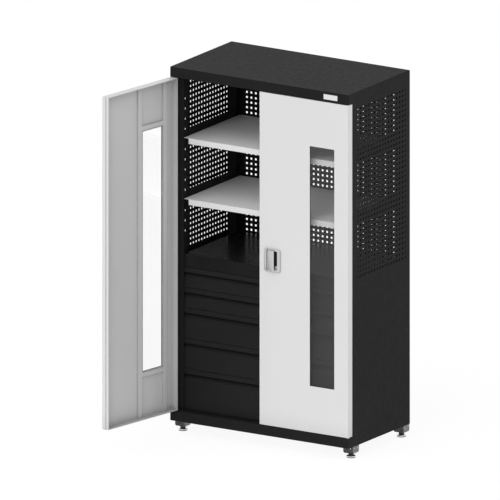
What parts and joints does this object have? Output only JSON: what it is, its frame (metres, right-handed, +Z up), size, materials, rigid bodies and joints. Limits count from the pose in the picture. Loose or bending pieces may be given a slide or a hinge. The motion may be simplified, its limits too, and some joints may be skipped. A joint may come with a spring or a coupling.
{
  "type": "tool cabinet",
  "caption": "Tall steel tool cabinet with windowed double doors, perforated walls, shelves, a drawer block, a flush locking handle and levelling feet.",
  "frame": {"origin": "on the floor, under the middle of the plan box of the cabinet with its left door open as pictured", "axes": "+Z up, +Y from the doors to the back, +X from the left side to the right as seen from the front"},
  "size_m": [1.085, 1.028, 1.8],
  "materials": {
    "black_paint": "satin black powder coat",
    "drawer_paint": "semi-gloss black powder coat",
    "door_paint": "satin light grey powder coat",
    "shelf_paint": "satin light grey powder coat",
    "zinc_plate": "dull zinc plate",
    "bright_steel": "bright zinc plate",
    "cast_metal": "satin silver casting",
    "dark_steel": "dark steel",
    "rubber_seal": "matt black",
    "clear_pane": "clear",
    "plate_metal": "satin, blank"
  },
  "bodies": {
    "cabinet": {"roof": "black_paint", "floor_tray": "black_paint", "side_panel_left": "black_paint", "side_panel_right": "black_paint", "back_panel": "black_paint", "blank_plate": "plate_metal", "post_front_left": "black_paint", "post_front_right": "black_paint", "post_rear_left": "black_paint", "post_rear_right": "black_paint", "foot_bracket_front_left": "zinc_plate", "foot_bracket_front_right": "zinc_plate", "foot_bracket_rear_left": "zinc_plate", "foot_bracket_rear_right": "zinc_plate", "hinge_pin_left_top": "bright_steel", "hinge_pin_left_bottom": "bright_steel", "hinge_pin_right_top": "bright_steel", "hinge_pin_right_bottom": "bright_steel", "shelf_upper": "shelf_paint", "shelf_lower": "shelf_paint", "shelf_rail_upper_left": "black_paint", "shelf_rail_upper_right": "black_paint", "shelf_rail_lower_left": "black_paint", "shelf_rail_lower_right": "black_paint", "block_top": "drawer_paint", "block_side_left": "drawer_paint", "block_side_right": "drawer_paint", "block_divider": "drawer_paint", "drawer_right_1": "drawer_paint", "drawer_right_2": "drawer_paint", "drawer_right_3": "drawer_paint", "drawer_right_4": "drawer_paint", "drawer_right_5": "drawer_paint"},
    "door_left": {"door_left_leaf": "door_paint", "door_left_frame": "door_paint", "window_left_seal": "rubber_seal", "window_left_pane": "clear_pane"},
    "door_right": {"door_right_leaf": "door_paint", "door_right_frame": "door_paint", "window_right_seal": "rubber_seal", "window_right_pane": "clear_pane", "handle_plate": "cast_metal", "lock_case": "dark_steel"},
    "lever": {"handle_lever": "cast_metal"},
    "key": {"key_barrel": "bright_steel"},
    "rod_upper": {"lock_rod_upper": "bright_steel"},
    "rod_lower": {"lock_rod_lower": "bright_steel"},
    "drawer_1": {"drawer_left_1": "drawer_paint"},
    "drawer_2": {"drawer_left_2": "drawer_paint"},
    "drawer_3": {"drawer_left_3": "drawer_paint"},
    "drawer_4": {"drawer_left_4": "drawer_paint"},
    "drawer_5": {"drawer_left_5": "drawer_paint"},
    "foot_front_left": {"levelling_foot_front_left": "bright_steel"},
    "foot_front_right": {"levelling_foot_front_right": "bright_steel"},
    "foot_rear_left": {"levelling_foot_rear_left": "bright_steel"},
    "foot_rear_right": {"levelling_foot_rear_right": "bright_steel"}
  },
  "joints": [
    {"name": "door_left_hinge", "type": "hinge", "parent": "cabinet", "child": "door_left", "pos_m": [-0.44943, -0.02801, 0.93], "axis": [0, 0, -1], "range_deg": [-100, 10]},
    {"name": "door_right_hinge", "type": "hinge", "parent": "cabinet", "child": "door_right", "pos_m": [0.53457, -0.02801, 0.93], "axis": [0, 0, 1], "range_deg": [0, 110]},
    {"name": "drawer_1_slide", "type": "slide", "parent": "cabinet", "child": "drawer_1", "axis": [0, -1, 0], "range_m": [0, 0.4]},
    {"name": "drawer_2_slide", "type": "slide", "parent": "cabinet", "child": "drawer_2", "axis": [0, -1, 0], "range_m": [0, 0.4]},
    {"name": "drawer_3_slide", "type": "slide", "parent": "cabinet", "child": "drawer_3", "axis": [0, -1, 0], "range_m": [0, 0.4]},
    {"name": "drawer_4_slide", "type": "slide", "parent": "cabinet", "child": "drawer_4", "axis": [0, -1, 0], "range_m": [0, 0.4]},
    {"name": "drawer_5_slide", "type": "slide", "parent": "cabinet", "child": "drawer_5", "axis": [0, -1, 0], "range_m": [0, 0.4]},
    {"name": "lever_hinge", "type": "hinge", "parent": "door_right", "child": "lever", "pos_m": [0.09007, -0.04411, 0.9285], "axis": [0, 0, -1], "range_deg": [0, 40], "stiffness_Nm_per_rad": 0.3},
    {"name": "key_turn", "type": "hinge", "parent": "door_right", "child": "key", "pos_m": [0.13557, -0.04131, 0.8905], "axis": [0, 1, 0], "range_deg": [0, 90]},
    {"name": "rod_upper_slide", "type": "slide", "parent": "door_right", "child": "rod_upper", "axis": [0, 0, 1], "range_m": [0, 0.012]},
    {"name": "rod_lower_slide", "type": "slide", "parent": "door_right", "child": "rod_lower", "axis": [0, 0, -1], "range_m": [0, 0.012]},
    {"name": "foot_front_left_height", "type": "slide", "parent": "cabinet", "child": "foot_front_left", "axis": [0, 0, -1], "range_m": [0, 0.015]},
    {"name": "foot_front_right_height", "type": "slide", "parent": "cabinet", "child": "foot_front_right", "axis": [0, 0, -1], "range_m": [0, 0.015]},
    {"name": "foot_rear_left_height", "type": "slide", "parent": "cabinet", "child": "foot_rear_left", "axis": [0, 0, -1], "range_m": [0, 0.015]},
    {"name": "foot_rear_right_height", "type": "slide", "parent": "cabinet", "child": "foot_rear_right", "axis": [0, 0, -1], "range_m": [0, 0.015]}
  ],
  "couplings": [
    {"joint": "rod_lower_slide", "follows": "rod_upper_slide", "ratio": 1},
    {"joint": "key_turn", "follows": "rod_upper_slide", "rad_per_m": 130.89}
  ]
}
